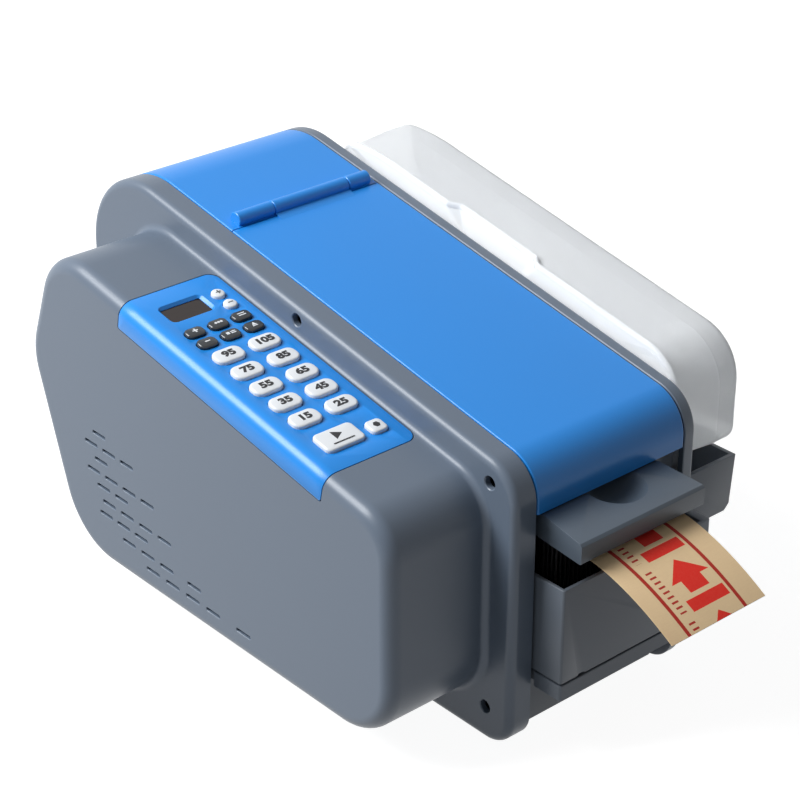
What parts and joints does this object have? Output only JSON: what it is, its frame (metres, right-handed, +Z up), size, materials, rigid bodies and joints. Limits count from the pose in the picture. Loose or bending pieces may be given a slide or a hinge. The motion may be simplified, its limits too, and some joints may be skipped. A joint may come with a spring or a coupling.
{
  "type": "gummed tape dispenser",
  "caption": "Counter machine with a length keypad that feeds, cuts and wets gummed paper tape between a warm plate and brushes, fed by a lift-off water bottle.",
  "frame": {"origin": "on the counter, under the middle of the whole machine's bounding box (tape end, control housing and bottle included)", "axes": "+Z up; -Y towards the operator, the side where the tape comes out; the keypad and control housing are on the -X side, the water bottle on the +X side"},
  "size_m": [0.2774, 0.4965, 0.252],
  "materials": {
    "cover_grey": "fine moulded texture, satin",
    "base_grey": "fine moulded texture",
    "tray_grey": "fine moulded texture",
    "plate_grey": "satin",
    "tank_grey": "satin",
    "lid_blue": "smooth satin",
    "panel_blue": "smooth, slightly glossy",
    "display_dark": "polished",
    "circuit_green": "solder resist",
    "key_white": "silicone, softly glossy",
    "key_dark": "silicone, softly glossy",
    "bottle_white": "translucent blow-moulded polyethylene",
    "valve_grey": "moulded",
    "guide_grey": "moulded",
    "gear_ivory": "acetal, moulded",
    "chassis_steel": "zinc plated sheet",
    "bright_steel": "ground",
    "motor_steel": "plated can",
    "roller_grey": "turned",
    "roller_rubber": "ground rubber",
    "foot_rubber": "moulded",
    "bristle_black": "nylon bristle",
    "kraft_paper": "brown kraft paper, matte",
    "printed_tape": "brown kraft paper with a red print, matte",
    "core_card": "spiral-wound board",
    "pinion_brass": "cut",
    "screw_black": "black oxide",
    "inlet_black": "moulded"
  },
  "bodies": {
    "body": {"left_side_cover": "cover_grey", "right_side_cover": "cover_grey", "chassis_left": "chassis_steel", "chassis_right": "chassis_steel", "base": "base_grey", "rubber_feet": "foot_rubber", "rear_cover": "lid_blue", "hinge_pin": "bright_steel", "control_panel": "panel_blue", "display_lens": "display_dark", "control_board": "circuit_green", "bottle_tray": "tray_grey", "pressing_plate": "plate_grey", "drip_ledge": "tank_grey", "feed_table": "bright_steel", "tape_web": "kraft_paper", "roll_guides": "guide_grey", "drive_motor": "motor_steel", "cutter_frame": "chassis_steel", "fixed_blade": "bright_steel", "cutter_solenoid": "motor_steel", "cover_screws": "screw_black", "power_inlet": "inlet_black"},
    "lid": {"front_lid": "lid_blue"},
    "tank": {"water_tank": "tank_grey", "front_brush": "bristle_black", "rear_brush": "bristle_black"},
    "strip": {"tape_strip": "printed_tape"},
    "bottle": {"water_bottle": "bottle_white", "bottle_valve": "valve_grey"},
    "roll": {"tape_roll": "kraft_paper", "tape_core": "core_card"},
    "front_support": {"support_roller_front": "roller_grey"},
    "rear_support": {"support_roller_rear": "roller_grey"},
    "feed": {"feed_roller": "roller_rubber", "feed_gear": "gear_ivory"},
    "pinch": {"pinch_roller": "roller_rubber"},
    "pinion": {"motor_pinion": "pinion_brass"},
    "cutter": {"moving_blade": "bright_steel"},
    "switch": {"rocker_switch": "inlet_black"},
    "key_15": {"key_15": "key_white"},
    "key_25": {"key_25": "key_white"},
    "key_35": {"key_35": "key_white"},
    "key_45": {"key_45": "key_white"},
    "key_55": {"key_55": "key_white"},
    "key_65": {"key_65": "key_white"},
    "key_75": {"key_75": "key_white"},
    "key_85": {"key_85": "key_white"},
    "key_95": {"key_95": "key_white"},
    "key_105": {"key_105": "key_white"},
    "soft_key_minus": {"soft_key_minus": "key_dark"},
    "soft_key_off": {"soft_key_off": "key_dark"},
    "soft_key_home": {"soft_key_home": "key_dark"},
    "soft_key_plus": {"soft_key_plus": "key_dark"},
    "soft_key_set": {"soft_key_set": "key_dark"},
    "soft_key_menu": {"soft_key_menu": "key_dark"},
    "round_key_up": {"round_key_up": "key_white"},
    "round_key_down": {"round_key_down": "key_white"},
    "start_key": {"start_key": "key_white"},
    "feed_key": {"feed_key": "key_white"}
  },
  "joints": [
    {"name": "lid_hinge", "type": "hinge", "parent": "body", "child": "lid", "pos_m": [0.0163, 0.12345, 0.24204], "axis": [-1, 0, 0], "range_deg": [0, 100]},
    {"name": "tank_slide", "type": "slide", "parent": "body", "child": "tank", "axis": [0, -1, 0], "range_m": [0, 0.11]},
    {"name": "strip_pull", "type": "slide", "parent": "tank", "child": "strip", "axis": [0, -1, 0], "range_m": [0, 0.12]},
    {"name": "bottle_lift", "type": "slide", "parent": "body", "child": "bottle", "axis": [0, 0, 1], "range_m": [0, 0.2]},
    {"name": "roll_spin", "type": "hinge", "parent": "body", "child": "roll", "pos_m": [0.0009, 0.12045, 0.14], "axis": [1, 0, 0], "continuous": true},
    {"name": "front_support_spin", "type": "hinge", "parent": "body", "child": "front_support", "pos_m": [0.0009, 0.06464, 0.0603], "axis": [1, 0, 0], "continuous": true},
    {"name": "rear_support_spin", "type": "hinge", "parent": "body", "child": "rear_support", "pos_m": [0.0009, 0.17626, 0.0603], "axis": [1, 0, 0], "continuous": true},
    {"name": "feed_spin", "type": "hinge", "parent": "body", "child": "feed", "pos_m": [0.0009, -0.07255, 0.1227], "axis": [1, 0, 0], "continuous": true},
    {"name": "pinch_spin", "type": "hinge", "parent": "body", "child": "pinch", "pos_m": [0.0009, -0.07255, 0.1477], "axis": [1, 0, 0], "continuous": true},
    {"name": "pinion_spin", "type": "hinge", "parent": "body", "child": "pinion", "pos_m": [-0.0547, -0.04812, 0.09359], "axis": [1, 0, 0], "continuous": true},
    {"name": "cutter_slide", "type": "slide", "parent": "body", "child": "cutter", "axis": [0, 0, -1], "range_m": [0, 0.01], "stiffness_N_per_m": 120, "springref_m": -0.008},
    {"name": "switch_rock", "type": "hinge", "parent": "body", "child": "switch", "pos_m": [0.0258, 0.24045, 0.064], "axis": [-1, 0, 0], "range_deg": [0, 16]},
    {"name": "key_15_press", "type": "slide", "parent": "body", "child": "key_15", "axis": [0, 0.1908, -0.9816], "range_m": [0, 0.0015], "stiffness_N_per_m": 300, "springref_m": -0.0006},
    {"name": "key_25_press", "type": "slide", "parent": "body", "child": "key_25", "axis": [0, 0.1908, -0.9816], "range_m": [0, 0.0015], "stiffness_N_per_m": 300, "springref_m": -0.0006},
    {"name": "key_35_press", "type": "slide", "parent": "body", "child": "key_35", "axis": [0, 0.1908, -0.9816], "range_m": [0, 0.0015], "stiffness_N_per_m": 300, "springref_m": -0.0006},
    {"name": "key_45_press", "type": "slide", "parent": "body", "child": "key_45", "axis": [0, 0.1908, -0.9816], "range_m": [0, 0.0015], "stiffness_N_per_m": 300, "springref_m": -0.0006},
    {"name": "key_55_press", "type": "slide", "parent": "body", "child": "key_55", "axis": [0, 0.1908, -0.9816], "range_m": [0, 0.0015], "stiffness_N_per_m": 300, "springref_m": -0.0006},
    {"name": "key_65_press", "type": "slide", "parent": "body", "child": "key_65", "axis": [0, 0.1908, -0.9816], "range_m": [0, 0.0015], "stiffness_N_per_m": 300, "springref_m": -0.0006},
    {"name": "key_75_press", "type": "slide", "parent": "body", "child": "key_75", "axis": [0, 0.1908, -0.9816], "range_m": [0, 0.0015], "stiffness_N_per_m": 300, "springref_m": -0.0006},
    {"name": "key_85_press", "type": "slide", "parent": "body", "child": "key_85", "axis": [0, 0.1908, -0.9816], "range_m": [0, 0.0015], "stiffness_N_per_m": 300, "springref_m": -0.0006},
    {"name": "key_95_press", "type": "slide", "parent": "body", "child": "key_95", "axis": [0, 0.1908, -0.9816], "range_m": [0, 0.0015], "stiffness_N_per_m": 300, "springref_m": -0.0006},
    {"name": "key_105_press", "type": "slide", "parent": "body", "child": "key_105", "axis": [0, 0.1908, -0.9816], "range_m": [0, 0.0015], "stiffness_N_per_m": 300, "springref_m": -0.0006},
    {"name": "soft_key_minus_press", "type": "slide", "parent": "body", "child": "soft_key_minus", "axis": [0, 0.1908, -0.9816], "range_m": [0, 0.0015], "stiffness_N_per_m": 300, "springref_m": -0.0006},
    {"name": "soft_key_off_press", "type": "slide", "parent": "body", "child": "soft_key_off", "axis": [0, 0.1908, -0.9816], "range_m": [0, 0.0015], "stiffness_N_per_m": 300, "springref_m": -0.0006},
    {"name": "soft_key_home_press", "type": "slide", "parent": "body", "child": "soft_key_home", "axis": [0, 0.1908, -0.9816], "range_m": [0, 0.0015], "stiffness_N_per_m": 300, "springref_m": -0.0006},
    {"name": "soft_key_plus_press", "type": "slide", "parent": "body", "child": "soft_key_plus", "axis": [0, 0.1908, -0.9816], "range_m": [0, 0.0015], "stiffness_N_per_m": 300, "springref_m": -0.0006},
    {"name": "soft_key_set_press", "type": "slide", "parent": "body", "child": "soft_key_set", "axis": [0, 0.1908, -0.9816], "range_m": [0, 0.0015], "stiffness_N_per_m": 300, "springref_m": -0.0006},
    {"name": "soft_key_menu_press", "type": "slide", "parent": "body", "child": "soft_key_menu", "axis": [0, 0.1908, -0.9816], "range_m": [0, 0.0015], "stiffness_N_per_m": 300, "springref_m": -0.0006},
    {"name": "round_key_up_press", "type": "slide", "parent": "body", "child": "round_key_up", "axis": [0, 0.1908, -0.9816], "range_m": [0, 0.0015], "stiffness_N_per_m": 300, "springref_m": -0.0006},
    {"name": "round_key_down_press", "type": "slide", "parent": "body", "child": "round_key_down", "axis": [0, 0.1908, -0.9816], "range_m": [0, 0.0015], "stiffness_N_per_m": 300, "springref_m": -0.0006},
    {"name": "start_key_press", "type": "slide", "parent": "body", "child": "start_key", "axis": [0, 0.1908, -0.9816], "range_m": [0, 0.0015], "stiffness_N_per_m": 300, "springref_m": -0.0006},
    {"name": "feed_key_press", "type": "slide", "parent": "body", "child": "feed_key", "axis": [0, 0.1908, -0.9816], "range_m": [0, 0.0015], "stiffness_N_per_m": 300, "springref_m": -0.0006}
  ],
  "couplings": [
    {"joint": "front_support_spin", "follows": "roll_spin", "ratio": -9.7778},
    {"joint": "rear_support_spin", "follows": "roll_spin", "ratio": -9.7778},
    {"joint": "feed_spin", "follows": "roll_spin", "ratio": 5.8667},
    {"joint": "pinch_spin", "follows": "roll_spin", "ratio": -9.7778},
    {"joint": "pinion_spin", "follows": "roll_spin", "ratio": -22}
  ]
}
